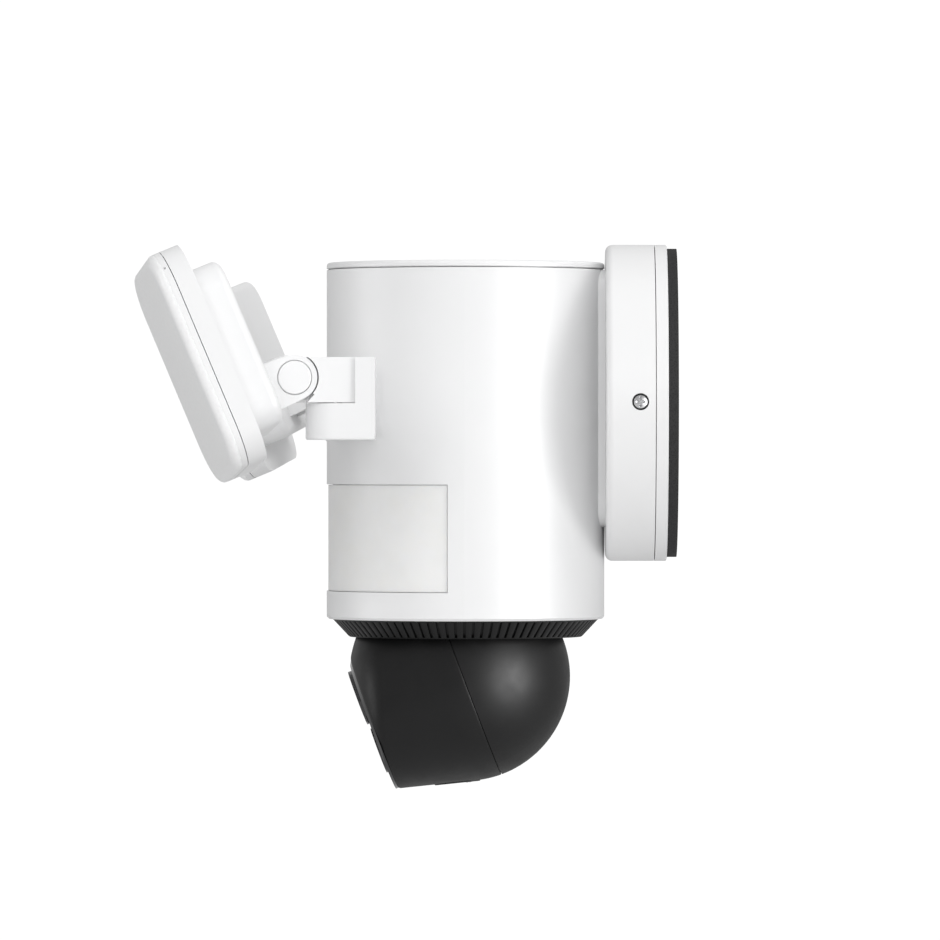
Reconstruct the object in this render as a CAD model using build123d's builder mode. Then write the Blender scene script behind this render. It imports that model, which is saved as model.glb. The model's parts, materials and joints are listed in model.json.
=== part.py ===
"""Wall-mounted floodlight security camera with a pan-and-tilt head under a round housing.

Frame: origin at the centre of the wall face, on the canopy's axis. +Z up, +Y into the wall,
so the front faces -Y. Lengths in mm, angles in degrees.
"""
from build123d import *
from math import acos, asin, cos, degrees, pi, radians, sin, tan
import os

os.makedirs("parts", exist_ok=True)

# ---------------------------------------------------------------- driving dimensions
# canopy over the junction box
CANOPY_R = 60.0
CANOPY_FRONT = 27.0
CANOPY_SEAM = 8.6
GASKET_R = 58.5
GASKET_T = 3.8
CANOPY_WALL = 2.6
PLATE_T = 1.8
BOX_SCREW_SPACING = 88.9
SMALL_BOX_SPACING = 69.85
BOX_SLOT_LENGTH = 12.0
BOX_SLOT_WIDTH = 4.8
SIDE_SCREW_Y = 14.3
WIRE_HOLE_R = 9.0

# saddle between canopy and housing
SADDLE_W = 32.0
SADDLE_BOTTOM = -47.0
SADDLE_CORNER = 6.0
SADDLE_SCREW_X = 21.0
SADDLE_SCREW_Z = 60.0

# round housing
AXIS_Y = -80.0
HOUSING_R = 52.7
HOUSING_WALL = 2.8
HOUSING_TOP = 50.3
HOUSING_BOTTOM = -81.9
CAP_T = 2.8

# motion sensor window
PIR_TOP = -31.1
PIR_BOTTOM = -71.1
PIR_HALF_ANGLE = 83.0
PIR_T = 1.8
PIR_INSET = 0.6

# vent ring and head well
VENT_BOTTOM = -88.7
VENT_TOP_R = 50.4
VENT_BOTTOM_R = 44.1
VENT_MOUTH_R = 43.0
VENT_SLOTS = 90
WELL_R = 41.2
WELL_WALL = 2.3
WELL_TOP = -51.0

# pan drive
PAN_MODULE = 0.8
PAN_GEAR_TEETH = 72
PAN_PINION_TEETH = 12

# head
HEAD_Z = -103.8
HEAD_R = 39.7
HEAD_WALL = 2.4
HEAD_PITCH = 20.5
HEAD_CONE = 14.5
FACE_AT = 38.6
FACE_PROUD = 1.0
WIDE_UP = 6.5
WIDE_R = 10.65
WIDE_FRONT = 41.3
TELE_UP = -14.9
TELE_R = 8.95
TELE_FRONT = 40.8
BOARD_AT = 20.5
BOARD_T = 1.6
CHASSIS_AT = 15.5
CHASSIS_T = 2.0
CHEEK_AT = 12.0
CHEEK_T = 3.0
RIM_BALL_FORWARD = -10.0
RIM_BALL_UP = -7.4
RIM_BALL_R = 56.6
TILT_UP = 0.0
TILT_DOWN = 55.0
TILT_MODULE = 0.6
TILT_GEAR_TEETH = 48
TILT_PINION_TEETH = 12
POST_HALF_X = 7.0
POST_HALF_Y = 5.5

# lights
SWIVEL_X = 129.4
SWIVEL_Y = -127.0
HINGE_REACH = 15.2
HINGE_Z = 8.2
LIGHT_TILT = 22.3
LIGHT_NOD = 27.0
LIGHT_YAW = 10.0
LIGHT_ROLL = 5.8
PANEL = 83.0
PANEL_CORNER = 15.0
PANEL_RISE = 16.7
TIER = 63.0
TIER_CORNER = 10.0
TIER_BACK = 11.4
RIM_BACK = 23.5
LIGHT_SEAM = 30.5
BEZEL_FRONT = 33.6
LENS_CROWN = 37.1
LIGHT_WALL = 2.4
PINHOLE_R = 0.5
PINHOLE_TURN = 32.0
KNUCKLE_R = 9.8
ARM_TOP = 15.6
ARM_SPLIT = -1.1
ARM_BOTTOM = -14.4
ARM_HALF = 9.5
ARM_REAR_R = 12.6
COLUMN_FRONT = -118.6
BRACKET_BACK = -111.5
BAR_Y = -121.5
BAR_DEPTH = 15.0
BAR_Z = -7.75
BAR_HEIGHT = 11.3
BAR_BORE_R = 2.6
PAD_T = 3.0
PAD_TOP = 12.0
PAD_BOTTOM = -14.0
PAD_SCREWS = ((-4.0, 6.0), (3.5, 6.0))
SWIVEL_PIN_R = 3.5
HINGE_R = 8.3
LUG_HALF = 9.0
TONGUE_HALF = 5.2
HINGE_PIN_R = 2.5
HINGE_CAP_R = 6.1

GAP = 0.3
RUNNING = 0.05

# ---------------------------------------------------------------- shared planes and helpers
SIDES = {"left": -1, "right": 1}
PAN_CENTRES = PAN_MODULE * (PAN_GEAR_TEETH + PAN_PINION_TEETH) / 2
TILT_CENTRES = TILT_MODULE * (TILT_GEAR_TEETH + TILT_PINION_TEETH) / 2
FRONT = Plane(origin=(0, 0, 0), x_dir=(1, 0, 0), z_dir=(0, -1, 0))
HEAD_CENTRE = (0, AXIS_Y, HEAD_Z)
pitch = radians(HEAD_PITCH)
LOOK = Plane(origin=HEAD_CENTRE, x_dir=(1, 0, 0), z_dir=(0, -cos(pitch), -sin(pitch)))
LOOK_AXIS = Axis(HEAD_CENTRE, tuple(LOOK.z_dir))
SEAM_DIR = LOOK.y_dir * -cos(radians(30)) + LOOK.x_dir * sin(radians(30))
SEAM_NORMAL = SEAM_DIR.cross(LOOK.z_dir)
HEAD_SIDE = Plane(origin=HEAD_CENTRE, x_dir=LOOK.z_dir, z_dir=(-1, 0, 0))


def level(z):
    """Horizontal plane at height z, centred on the housing's axis."""
    return Plane(origin=(0, AXIS_Y, z))


def cross(x, z=HEAD_Z):
    """Plane across X at x, centred on the housing's axis at height z."""
    return Plane(origin=(x, AXIS_Y, z), x_dir=(0, 1, 0), z_dir=(1, 0, 0))


def bar_plane(side, x):
    """Plane across a light bracket's bar at distance x from the middle, seen from outside."""
    return Plane(origin=(side * x, BAR_Y, 0), x_dir=(0, side, 0), z_dir=(side, 0, 0))


def save(part, name):
    """Label a finished piece and write it as its own file."""
    part.label = name
    export_step(part, f"parts/{name}.step")


def gear_points(teeth, module, clearance=0.12, phase=0.0):
    """Outline of an involute spur gear with 20 degree flanks, thinned for backlash."""
    pressure = radians(20)
    pitch_r = teeth * module / 2
    base_r = pitch_r * cos(pressure)
    tip_r = pitch_r + 0.9 * module
    root_r = pitch_r - 1.2 * module
    half_pitch = pi / (2 * teeth) - clearance / (2 * pitch_r)
    involute = tan(pressure) - pressure
    steps = 3
    low_r = max(base_r, root_r)
    flank = []
    for i in range(steps + 1):
        r = low_r + (tip_r - low_r) * i / steps
        angle = acos(base_r / r)
        flank.append((r, half_pitch + involute - (tan(angle) - angle)))
    if root_r < base_r:
        flank.insert(0, (root_r, flank[0][1]))
    points = []
    for tooth in range(teeth):
        centre = phase + 2 * pi * tooth / teeth
        for r, half in flank:
            points.append((r * cos(centre - half), r * sin(centre - half)))
        for r, half in reversed(flank):
            points.append((r * cos(centre + half), r * sin(centre + half)))
    return points


# ---------------------------------------------------------------- canopy on the wall
def make_wall_gasket():
    with BuildPart() as gasket:
        with BuildSketch(FRONT):
            Circle(GASKET_R)
            Circle(52.0, mode=Mode.SUBTRACT)
        extrude(amount=GASKET_T)
    save(gasket.part, "wall_gasket")


def make_mounting_plate():
    plate_r = CANOPY_R - CANOPY_WALL - 1.2
    tab_w = 14.0
    tab_x = plate_r - PLATE_T / 2
    with BuildPart() as plate:
        with BuildSketch(FRONT.offset(GASKET_T)):
            Circle(plate_r)
            Circle(14.0, mode=Mode.SUBTRACT)
            with Locations((-BOX_SCREW_SPACING / 2, 0), (BOX_SCREW_SPACING / 2, 0)):
                SlotOverall(BOX_SLOT_LENGTH, BOX_SLOT_WIDTH, mode=Mode.SUBTRACT)
            with Locations((0, -SMALL_BOX_SPACING / 2), (0, SMALL_BOX_SPACING / 2)):
                SlotOverall(BOX_SLOT_LENGTH, BOX_SLOT_WIDTH, rotation=90, mode=Mode.SUBTRACT)
        extrude(amount=PLATE_T)
        with BuildSketch(FRONT.offset(GASKET_T)):
            with Locations((-tab_x, 0), (tab_x, 0)):
                Rectangle(PLATE_T, tab_w)
        extrude(amount=SIDE_SCREW_Y + 5 - GASKET_T)
        with BuildSketch(Plane(origin=(-plate_r - 1, -SIDE_SCREW_Y, 0), x_dir=(0, 1, 0), z_dir=(1, 0, 0))):
            Circle(1.6)
        extrude(amount=2 * plate_r + 2, mode=Mode.SUBTRACT)
    save(plate.part, "mounting_plate")


def make_canopy_back_ring():
    with BuildPart() as ring:
        with BuildSketch(FRONT.offset(GASKET_T)):
            Circle(CANOPY_R)
            Circle(CANOPY_R - CANOPY_WALL - 0.3, mode=Mode.SUBTRACT)
        extrude(amount=CANOPY_SEAM - GASKET_T - GAP)
        chamfer(ring.edges().group_by(Axis.Y)[-1].sort_by(SortBy.RADIUS)[-1:], 0.4)
    save(ring.part, "canopy_back_ring")


def make_canopy_cover():
    with BuildPart() as cover:
        with BuildSketch(FRONT.offset(CANOPY_SEAM)):
            Circle(CANOPY_R)
        extrude(amount=CANOPY_FRONT - CANOPY_SEAM)
        fillet(cover.faces().sort_by(Axis.Y)[0].edges(), 2.7)
        with BuildSketch(FRONT.offset(CANOPY_SEAM)):
            Circle(CANOPY_R - CANOPY_WALL)
        extrude(amount=CANOPY_FRONT - CANOPY_SEAM - CANOPY_WALL, mode=Mode.SUBTRACT)
        with BuildSketch(FRONT):
            Circle(WIRE_HOLE_R)
            with GridLocations(SADDLE_SCREW_X, SADDLE_SCREW_Z, 2, 2):
                Circle(2.2)
        extrude(amount=CANOPY_FRONT + 1, mode=Mode.SUBTRACT)
        for side in SIDES.values():
            wall_plane = Plane(origin=(side * (CANOPY_R + 1), -SIDE_SCREW_Y, 0), z_dir=(-side, 0, 0))
            with BuildSketch(wall_plane):
                Circle(3.2)
            extrude(amount=2.0, mode=Mode.SUBTRACT)
            with BuildSketch(wall_plane):
                Circle(2.1)
            extrude(amount=6.0, mode=Mode.SUBTRACT)
    save(cover.part, "canopy_cover")


def make_canopy_side_screws():
    screws = []
    for side in SIDES.values():
        head_plane = Plane(origin=(side * (CANOPY_R - 0.05), -SIDE_SCREW_Y, 0), z_dir=(-side, 0, 0))
        with BuildPart() as screw:
            with BuildSketch(head_plane):
                Circle(2.9)
            extrude(amount=0.95)
            with BuildSketch(head_plane):
                Circle(1.5)
            extrude(amount=6.0)
            with BuildSketch(head_plane):
                Rectangle(3.4, 0.7)
                Rectangle(0.7, 3.4)
            extrude(amount=0.7, mode=Mode.SUBTRACT)
        screws.append(screw.part)
    save(Compound(children=screws), "canopy_side_screws")


def make_terminal_block():
    block_z = 43.5
    with BuildPart() as block:
        with BuildSketch(FRONT.offset(CANOPY_FRONT - CANOPY_WALL)):
            with Locations((0, block_z)):
                RectangleRounded(30, 14, 2)
        extrude(amount=-9.0)
        with BuildSketch(FRONT.offset(CANOPY_FRONT - CANOPY_WALL - 9.0)):
            with Locations((0, block_z)):
                with GridLocations(9, 0, 3, 1):
                    Circle(2.2)
        extrude(amount=4.0, mode=Mode.SUBTRACT)
    save(block.part, "terminal_block")


# ---------------------------------------------------------------- saddle between canopy and housing
def make_rear_saddle():
    middle = (HOUSING_TOP + SADDLE_BOTTOM) / 2
    with BuildPart() as saddle:
        with BuildSketch(FRONT.offset(CANOPY_FRONT)):
            with Locations((0, middle)):
                RectangleRounded(SADDLE_W, HOUSING_TOP - SADDLE_BOTTOM, SADDLE_CORNER)
        extrude(amount=12.0)
        with BuildSketch(level(HOUSING_BOTTOM)):
            Circle(HOUSING_R)
        extrude(amount=HOUSING_TOP - HOUSING_BOTTOM, mode=Mode.SUBTRACT)
        with BuildSketch(FRONT):
            Circle(WIRE_HOLE_R)
            with GridLocations(SADDLE_SCREW_X, SADDLE_SCREW_Z, 2, 2):
                Circle(1.6)
        extrude(amount=60, mode=Mode.SUBTRACT)
    save(saddle.part, "rear_saddle")


def make_saddle_screws():
    screws = []
    head_at = CANOPY_FRONT - CANOPY_WALL
    for x in (-SADDLE_SCREW_X / 2, SADDLE_SCREW_X / 2):
        for z in (-SADDLE_SCREW_Z / 2, SADDLE_SCREW_Z / 2):
            with BuildPart() as screw:
                with BuildSketch(FRONT.offset(head_at)):
                    with Locations((x, z)):
                        Circle(3.4)
                extrude(amount=-2.2)
                with BuildSketch(FRONT.offset(head_at)):
                    with Locations((x, z)):
                        Circle(1.5)
                extrude(amount=10.0)
            screws.append(screw.part)
    save(Compound(children=screws), "saddle_screws")


# ---------------------------------------------------------------- round housing
def front_sector(inner, outer, half_angle):
    """Flat ring sector that faces forwards, to be added to a horizontal sketch."""
    reach = 3 * outer
    edge_x = reach * sin(radians(half_angle))
    edge_y = -reach * cos(radians(half_angle))
    with BuildSketch() as sector:
        Circle(outer)
        Circle(inner, mode=Mode.SUBTRACT)
        with BuildLine():
            Polyline((0, 0), (edge_x, edge_y), (edge_x, -reach), (-edge_x, -reach), (-edge_x, edge_y),
                     close=True)
        make_face(mode=Mode.INTERSECT)
    return sector.sketch


def make_main_housing():
    inner_r = HOUSING_R - HOUSING_WALL
    with BuildPart() as housing:
        with BuildSketch(level(HOUSING_BOTTOM)):
            Circle(HOUSING_R)
        extrude(amount=HOUSING_TOP - HOUSING_BOTTOM)
        chamfer(housing.edges().group_by(Axis.Z)[0], 0.9)
        with BuildSketch(level(HOUSING_BOTTOM)):
            Circle(inner_r)
        extrude(amount=HOUSING_TOP - HOUSING_BOTTOM, mode=Mode.SUBTRACT)
        # window opening with a ledge behind it
        with BuildSketch(level(PIR_BOTTOM - 0.2)):
            add(front_sector(HOUSING_R - PIR_INSET - PIR_T, HOUSING_R + 1, PIR_HALF_ANGLE + 0.25))
        extrude(amount=PIR_TOP - PIR_BOTTOM + 0.4, mode=Mode.SUBTRACT)
        with BuildSketch(level(PIR_BOTTOM + 3)):
            add(front_sector(inner_r - 1, HOUSING_R, PIR_HALF_ANGLE - 4))
        extrude(amount=PIR_TOP - PIR_BOTTOM - 6, mode=Mode.SUBTRACT)
        # wire passage and saddle screw holes at the back
        with BuildSketch(FRONT.offset(20)):
            Circle(8.0)
            with GridLocations(SADDLE_SCREW_X, SADDLE_SCREW_Z, 2, 2):
                Circle(1.6)
        extrude(amount=22, mode=Mode.SUBTRACT)
        # holes where the light brackets bolt on
        for side in SIDES.values():
            with BuildSketch(bar_plane(side, 15)):
                with Locations((0, BAR_Z)):
                    Circle(BAR_BORE_R)
                with Locations(*((side * y, z) for y, z in PAD_SCREWS)):
                    Circle(1.7)
            extrude(amount=35, mode=Mode.SUBTRACT)
    save(housing.part, "main_housing")


def make_cap_and_seal():
    inner_r = HOUSING_R - HOUSING_WALL - 0.1
    with BuildPart() as cap:
        with BuildSketch(level(HOUSING_TOP + 0.35)):
            Circle(HOUSING_R)
        extrude(amount=CAP_T - 0.35)
        fillet(cap.faces().sort_by(Axis.Z)[-1].edges(), 1.2)
        with BuildSketch(level(HOUSING_TOP + 0.35)):
            Circle(inner_r)
            Circle(inner_r - 2.2, mode=Mode.SUBTRACT)
        extrude(amount=-4.35)
        with BuildSketch(level(HOUSING_TOP - 1.2)):
            Circle(inner_r + 1)
            Circle(inner_r - 0.9, mode=Mode.SUBTRACT)
        extrude(amount=-1.4, mode=Mode.SUBTRACT)
        with BuildSketch(level(HOUSING_TOP + 0.35)):
            Circle(HOUSING_R + 1)
            Circle(HOUSING_R - 0.5, mode=Mode.SUBTRACT)
        extrude(amount=0.3, mode=Mode.SUBTRACT)
    save(cap.part, "top_cap")

    with BuildPart() as seal:
        with BuildSketch(level(HOUSING_TOP - 1.3)):
            Circle(inner_r + 0.1)
            Circle(inner_r - 0.85, mode=Mode.SUBTRACT)
        extrude(amount=-1.2)
    save(seal.part, "cap_seal")


def make_pir_parts():
    outer = HOUSING_R - PIR_INSET
    with BuildPart() as window:
        with BuildSketch(level(PIR_BOTTOM)):
            add(front_sector(outer - PIR_T, outer, PIR_HALF_ANGLE))
        extrude(amount=PIR_TOP - PIR_BOTTOM)
    save(window.part, "motion_sensor_window")

    board_r = WELL_R + WELL_WALL + 1.0
    with BuildPart() as board:
        with BuildSketch(level(-62)):
            add(front_sector(board_r, board_r + 1.2, 70))
        extrude(amount=24)
        for angle in (-55, 0, 55):
            a = radians(angle)
            start = board_r + 0.4
            with BuildSketch(Plane(
                origin=(start * sin(a), AXIS_Y - start * cos(a), -50),
                x_dir=(cos(a), sin(a), 0),
                z_dir=(sin(a), -cos(a), 0),
            )):
                Circle(4.1)
            extrude(amount=4.0)
    save(board.part, "motion_sensor_board")


def make_vent_ring():
    skirt_r = HOUSING_R - HOUSING_WALL - 0.15
    with BuildPart() as ring:
        with BuildSketch(Plane(origin=(0, AXIS_Y, 0), x_dir=(1, 0, 0), z_dir=(0, -1, 0))):
            with BuildLine():
                Polyline(
                    (VENT_TOP_R, HOUSING_BOTTOM - 0.1),
                    (VENT_BOTTOM_R, VENT_BOTTOM),
                    (VENT_MOUTH_R, VENT_BOTTOM),
                    (VENT_MOUTH_R, VENT_BOTTOM + 1.6),
                    (skirt_r - 2.2, HOUSING_BOTTOM - 0.1),
                    (skirt_r - 2.2, HOUSING_BOTTOM + 5),
                    (skirt_r, HOUSING_BOTTOM + 5),
                    (skirt_r, HOUSING_BOTTOM - 0.1),
                    close=True,
                )
            make_face()
        revolve(axis=Axis((0, AXIS_Y, 0), (0, 0, 1)))
        slot_long = 5.2
        with BuildPart(mode=Mode.PRIVATE) as slot_tool:
            with BuildSketch(Plane(
                origin=((VENT_TOP_R + VENT_BOTTOM_R) / 2 + 2, 0, (HOUSING_BOTTOM + VENT_BOTTOM) / 2 - 2),
                x_dir=(1, 0, 1),
                z_dir=(-1, 0, 1),
            )):
                Rectangle(slot_long, 1.2)
            extrude(amount=3.9)
        with Locations(level(0)):
            with PolarLocations(0, VENT_SLOTS):
                add(slot_tool.part, mode=Mode.SUBTRACT)
    save(ring.part, "vent_ring")


def make_head_well():
    flange_r = HOUSING_R - HOUSING_WALL - 0.1
    with BuildPart() as well:
        with BuildSketch(Plane(origin=(0, AXIS_Y, 0), x_dir=(1, 0, 0), z_dir=(0, -1, 0))):
            with BuildLine():
                Polyline(
                    (15.0, WELL_TOP),
                    (WELL_R + WELL_WALL, WELL_TOP),
                    (WELL_R + WELL_WALL, -74.4),
                    (flange_r, -74.4),
                    (flange_r, -76.6),
                    (WELL_R, -76.6),
                    (WELL_R, WELL_TOP - 3),
                    (15.0, WELL_TOP - 3),
                    close=True,
                )
            make_face()
        revolve(axis=Axis((0, AXIS_Y, 0), (0, 0, 1)))
        with BuildSketch(level(WELL_TOP)):
            with Locations((0, PAN_CENTRES)):
                Circle(3.0)
        extrude(amount=-3.0, mode=Mode.SUBTRACT)
    save(well.part, "head_well")


# ---------------------------------------------------------------- electronics in the housing
def make_electronics():
    with BuildPart() as board:
        with BuildSketch(level(-20)):
            Circle(46)
            with PolarLocations(38, 4, start_angle=45):
                Circle(1.7, mode=Mode.SUBTRACT)
        extrude(amount=1.6)
        with BuildSketch(level(-18.4)):
            with Locations((-12, -14)):
                Rectangle(16, 16)
            with Locations((14, -16)):
                Rectangle(12, 10)
            with Locations((-20, 14)):
                Rectangle(9, 7)
        extrude(amount=1.5)
        with BuildSketch(level(-18.4)):
            with Locations((22, 10), (22, -2)):
                Circle(4.0)
        extrude(amount=9.0)
    save(board.part, "main_board")

    standoffs = []
    for i in range(4):
        a = radians(45 + 90 * i)
        with BuildPart() as standoff:
            with BuildSketch(level(WELL_TOP)):
                with Locations((38 * cos(a), 38 * sin(a))):
                    RegularPolygon(2.8, 6)
            extrude(amount=-20 - WELL_TOP)
            with BuildSketch(level(-20)):
                with Locations((38 * cos(a), 38 * sin(a))):
                    Circle(1.5)
            extrude(amount=1.6)
            with BuildSketch(level(-18.4)):
                with Locations((38 * cos(a), 38 * sin(a))):
                    Circle(2.8)
            extrude(amount=1.6)
        standoffs.append(standoff.part)
    save(Compound(children=standoffs), "board_standoffs")

    with BuildPart() as supply:
        with BuildSketch(level(12)):
            with Locations((0, -4)):
                RectangleRounded(62, 40, 3)
        extrude(amount=26)
        fillet(supply.edges().group_by(Axis.Z)[-1], 1.5)
    save(supply.part, "power_supply")

    with BuildPart() as rack:
        for y in (-24.5, 16.5):
            with BuildSketch(level(-18.3)):
                with Locations((0, y)):
                    Rectangle(20, 2.2)
            extrude(amount=28.3)
        with BuildSketch(level(10)):
            with Locations((0, -4)):
                Rectangle(60, 43.2)
        extrude(amount=1.9)
    save(rack.part, "power_supply_bracket")

    with BuildPart() as speaker:
        with BuildSketch(level(WELL_TOP)):
            with Locations((-29, 0)):
                Circle(11)
        extrude(amount=5)
        with BuildSketch(level(WELL_TOP + 5)):
            with Locations((-29, 0)):
                Circle(7)
        extrude(amount=7)
    save(speaker.part, "siren_speaker")


# ---------------------------------------------------------------- pan drive
def make_pan_drive():
    with BuildPart() as motor:
        with BuildSketch(level(WELL_TOP)):
            with Locations((0, PAN_CENTRES)):
                Circle(12)
        extrude(amount=15)
        with BuildSketch(level(WELL_TOP)):
            with Locations((0, PAN_CENTRES)):
                Circle(2.0)
        extrude(amount=-7.3)
    save(motor.part, "pan_motor")

    with BuildPart() as bearing:
        with BuildSketch(level(WELL_TOP - 3)):
            Circle(14.95)
            Circle(10.0 + RUNNING, mode=Mode.SUBTRACT)
        extrude(amount=4.0)
    save(bearing.part, "pan_bearing")

    with BuildPart() as pinion:
        with BuildSketch(Plane(origin=(0, AXIS_Y + PAN_CENTRES, -58.3), x_dir=(0, -1, 0), z_dir=(0, 0, 1))):
            with BuildLine():
                Polyline(*gear_points(PAN_PINION_TEETH, PAN_MODULE), close=True)
            make_face()
            Circle(2.0 + RUNNING, mode=Mode.SUBTRACT)
        extrude(amount=3.9)
    save(pinion.part, "pan_pinion")

    mesh_phase = pi / PAN_GEAR_TEETH
    with BuildPart() as gear:
        with BuildSketch(Plane(origin=(0, AXIS_Y, -58.6), x_dir=(0, 1, 0), z_dir=(0, 0, 1))):
            with BuildLine():
                Polyline(*gear_points(PAN_GEAR_TEETH, PAN_MODULE, phase=mesh_phase), close=True)
            make_face()
            Circle(12, mode=Mode.SUBTRACT)
        extrude(amount=4.0)
    save(gear.part, "pan_ring_gear")

    with BuildPart() as turntable:
        with BuildSketch(level(-62.4)):
            Circle(34)
        extrude(amount=3.8)
        with BuildSketch(level(-58.6)):
            Circle(11.9)
        extrude(amount=4.2)
        with BuildSketch(level(-54.4)):
            Circle(10.0)
        extrude(amount=8.0)
        # blade that reaches down to the tilt axle
        with BuildSketch(level(-62.4)):
            Rectangle(2 * POST_HALF_X, 2 * POST_HALF_Y)
        extrude(amount=HEAD_Z + 62.4)
        with BuildSketch(cross(-POST_HALF_X)):
            Circle(POST_HALF_Y + 1.5)
        extrude(amount=2 * POST_HALF_X)
        with BuildSketch(cross(-POST_HALF_X)):
            Circle(2.5)
        extrude(amount=2 * POST_HALF_X, mode=Mode.SUBTRACT)
        with BuildSketch(cross(-POST_HALF_X, HEAD_Z + TILT_CENTRES)):
            Circle(1.2)
        extrude(amount=2 * POST_HALF_X, mode=Mode.SUBTRACT)
        with BuildSketch(level(-70)):
            Circle(3.5)
        extrude(amount=30, mode=Mode.SUBTRACT)
    save(turntable.part, "turntable_post")

    with BuildPart() as ring:
        with BuildSketch(level(-49.6)):
            Circle(13.5)
            Circle(10.0, mode=Mode.SUBTRACT)
        extrude(amount=2.0)
    save(ring.part, "pan_retaining_ring")


# ---------------------------------------------------------------- tilt drive inside the head
def make_tilt_drive():
    motor_z = HEAD_Z + TILT_CENTRES
    with BuildPart() as axle:
        with BuildSketch(cross(-19)):
            Circle(2.5)
        extrude(amount=38)
    save(axle.part, "tilt_axle")

    with BuildPart() as motor:
        with BuildSketch(cross(-POST_HALF_X, motor_z)):
            Circle(7.0)
        extrude(amount=-7.5)
        with BuildSketch(cross(-POST_HALF_X, motor_z)):
            Circle(1.0)
        extrude(amount=2 * POST_HALF_X + 5.6)
    save(motor.part, "tilt_motor")

    with BuildPart() as pinion:
        with BuildSketch(Plane(origin=(7.6, AXIS_Y, motor_z), x_dir=(0, 0, -1), z_dir=(1, 0, 0))):
            with BuildLine():
                Polyline(*gear_points(TILT_PINION_TEETH, TILT_MODULE, 0.1), close=True)
            make_face()
            Circle(1.0 + RUNNING, mode=Mode.SUBTRACT)
        extrude(amount=4.6)
    save(pinion.part, "tilt_pinion")

    with BuildPart() as gear:
        with BuildSketch(Plane(origin=(8.0, AXIS_Y, HEAD_Z), x_dir=(0, 0, 1), z_dir=(1, 0, 0))):
            with BuildLine():
                Polyline(*gear_points(TILT_GEAR_TEETH, TILT_MODULE, 0.1, pi / TILT_GEAR_TEETH), close=True)
            make_face()
            Circle(2.5 + RUNNING, mode=Mode.SUBTRACT)
        extrude(amount=4.0)
    save(gear.part, "tilt_gear")


# ---------------------------------------------------------------- camera head
def head_profile(wall):
    """Half outline of the head from the seam forwards, shrunk inwards by wall."""
    r = HEAD_R - wall
    cone = radians(HEAD_CONE)
    touch = (r * cos(cone), r * sin(cone))
    face_at = FACE_AT if wall == 0 else FACE_AT + 1
    face_r = touch[0] - (face_at - touch[1]) * tan(cone)
    half = cone / 2
    return r, touch, (face_r, face_at), (r * cos(half), r * sin(half))


def head_solid(wall):
    """Solid of revolution of the front half about the look axis."""
    r, touch, face, middle = head_profile(wall)
    spin = Plane(origin=HEAD_CENTRE, x_dir=SEAM_DIR, z_dir=SEAM_NORMAL)
    with BuildPart(mode=Mode.PRIVATE) as solid:
        with BuildSketch(spin):
            with BuildLine():
                ThreePointArc((r, 0), middle, touch)
                Polyline(touch, face, (0, face[1]), (0, 0), (r, 0))
            make_face()
        revolve(axis=LOOK_AXIS)
    return solid.part


def look_point(forward, up, across=0.0):
    """Point in the head given along and above the look axis."""
    base = Vector(*HEAD_CENTRE)
    return base + LOOK.z_dir * forward + LOOK.y_dir * up + LOOK.x_dir * across


def neck_slot():
    """Wedge cut in the shells that lets the post through over the whole tilt."""
    reach = 60.0
    margin = degrees(asin((POST_HALF_Y + 1.2) / (HEAD_R - HEAD_WALL)))
    with BuildPart(mode=Mode.PRIVATE) as wedge:
        with BuildSketch(cross(-POST_HALF_X - 1.0)):
            back = radians(90 - TILT_DOWN - margin)
            front = radians(90 + TILT_UP + margin)
            with BuildLine():
                Polyline(
                    (0, 0),
                    (reach * cos(back), reach * sin(back)),
                    (0, 1.6 * reach),
                    (reach * cos(front), reach * sin(front)),
                    close=True,
                )
            make_face()
        extrude(amount=2 * (POST_HALF_X + 1.0))
    return wedge.part


def rim_cutter(radius):
    """Ring outside the ball that rounds the face's upper rim, revolved about the look direction."""
    centre = look_point(RIM_BALL_FORWARD, RIM_BALL_UP)
    outside = 1.6 * radius
    low, middle, high = (
        (radius * cos(radians(a)), radius * sin(radians(a))) for a in (25, 47.5, 70)
    )
    with BuildPart(mode=Mode.PRIVATE) as cutter:
        with BuildSketch(Plane(origin=centre, x_dir=SEAM_DIR, z_dir=SEAM_NORMAL)):
            with BuildLine():
                ThreePointArc(low, middle, high)
                Polyline(high, (outside, high[1]), (outside, low[1]), low)
            make_face()
        revolve(axis=Axis(tuple(centre), tuple(LOOK.z_dir)))
    return cutter.part


def shell_radius(forward, wall=0.0):
    """Radius of the front shell's cone at a distance along the look direction."""
    cone = radians(HEAD_CONE)
    r = HEAD_R - wall
    return r * cos(cone) - (forward - r * sin(cone)) * tan(cone)


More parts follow.
